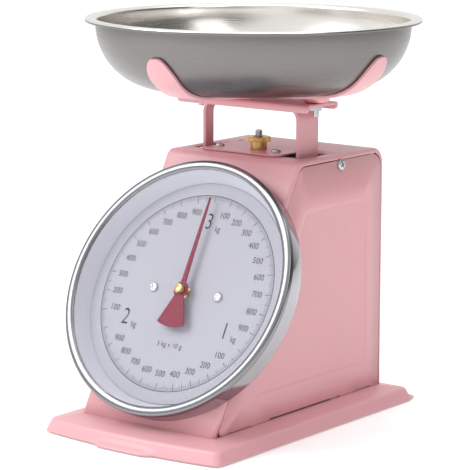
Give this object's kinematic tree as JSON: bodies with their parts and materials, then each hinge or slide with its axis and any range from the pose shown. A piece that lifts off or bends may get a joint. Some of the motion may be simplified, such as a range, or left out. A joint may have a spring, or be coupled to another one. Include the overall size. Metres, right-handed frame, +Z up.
{
  "type": "kitchen scale",
  "caption": "Retro mechanical kitchen scale: sloping round dial on a painted steel housing, steel weighing bowl on a sprung yoke.",
  "frame": {"origin": "middle of the footprint on the table, under the centre of the overall box", "axes": "+Z up; -Y is the side that the dial faces; +X to the right as seen from the dial"},
  "size_m": [0.218, 0.2482, 0.2609],
  "materials": {
    "pink_paint": "smooth semi-gloss enamel",
    "bowl_steel": "brushed stainless steel",
    "chrome_trim": "polished",
    "zinc_steel": "zinc-plated steel",
    "brass_parts": "turned brass",
    "pointer_red": "matt raspberry enamel",
    "dial_white": "matt white print on sheet",
    "wall_white": "matt white",
    "clear_lens": "clear",
    "foot_rubber": "matt black"
  },
  "bodies": {
    "housing": {"base_plate": "pink_paint", "feet": "foot_rubber", "base_screws": "zinc_steel", "wrap_cover": "pink_paint", "side_panel_left": "pink_paint", "side_panel_right": "pink_paint", "side_screws": "zinc_steel", "top_plate": "pink_paint", "top_plate_screws": "zinc_steel", "chassis": "zinc_steel", "lever_axles": "zinc_steel", "dial_drum": "chrome_trim", "dial_face": "dial_white", "dial_wall_ring": "wall_white", "lens": "clear_lens", "bezel": "chrome_trim", "dial_screws": "zinc_steel", "dial_nuts": "zinc_steel", "gear_bracket": "zinc_steel", "shaft_bushes": "brass_parts"},
    "pointer_unit": {"pointer_shaft": "zinc_steel", "pinion": "brass_parts", "pointer": "pointer_red", "pointer_nut": "brass_parts"},
    "platform": {"yoke": "pink_paint", "yoke_pins": "zinc_steel", "yoke_rivets": "zinc_steel", "carrier_channel": "pink_paint", "cradle": "pink_paint", "cradle_screws": "zinc_steel", "cradle_nuts": "zinc_steel", "carriage_bar": "zinc_steel", "carriage_rivets": "zinc_steel", "rack": "zinc_steel", "rack_arm": "zinc_steel", "spring_left": "zinc_steel", "spring_right": "zinc_steel"},
    "lower_link": {"lower_lever": "zinc_steel"},
    "upper_link": {"upper_lever": "zinc_steel"},
    "zero_knob": {"zero_nut": "brass_parts"},
    "spring_anchor": {"zero_stud": "zinc_steel", "spring_hanger": "zinc_steel"},
    "bowl_unit": {"bowl": "bowl_steel"}
  },
  "joints": [
    {"name": "platform_slide", "type": "slide", "parent": "housing", "child": "platform", "axis": [0, 0, -1], "range_m": [0, 0.01428], "stiffness_N_per_m": 2060.9, "springref_m": -0.00383, "deforming": ["spring_left", "spring_right"]},
    {"name": "pointer_turn", "type": "hinge", "parent": "housing", "child": "pointer_unit", "pos_m": [0, -0.0575, 0.0908], "axis": [0, 0.8788, -0.4772], "range_deg": [0, 360]},
    {"name": "lower_lever_swing", "type": "hinge", "parent": "housing", "child": "lower_link", "pos_m": [0, 0.0694, 0.07], "axis": [1, 0, 0], "range_deg": [0, 17]},
    {"name": "upper_lever_swing", "type": "hinge", "parent": "housing", "child": "upper_link", "pos_m": [0, 0.0694, 0.14], "axis": [1, 0, 0], "range_deg": [0, 17]},
    {"name": "zero_turn", "type": "hinge", "parent": "housing", "child": "zero_knob", "pos_m": [0, 0.0189, 0.1744], "axis": [0, 0, 1], "range_deg": [-360, 360]},
    {"name": "zero_lift", "type": "slide", "parent": "housing", "child": "spring_anchor", "axis": [0, 0, 1], "range_m": [-0.00079, 0.00079]},
    {"name": "bowl_lift", "type": "slide", "parent": "platform", "child": "bowl_unit", "axis": [0, 0, 1], "range_m": [0, 0.06]}
  ],
  "couplings": [
    {"joint": "pointer_turn", "follows": "platform_slide", "rad_per_m": 439.41},
    {"joint": "lower_lever_swing", "follows": "platform_slide", "rad_per_m": 18.245},
    {"joint": "upper_lever_swing", "follows": "platform_slide", "rad_per_m": 18.245},
    {"joint": "zero_turn", "follows": "zero_lift", "rad_per_m": -7854}
  ]
}
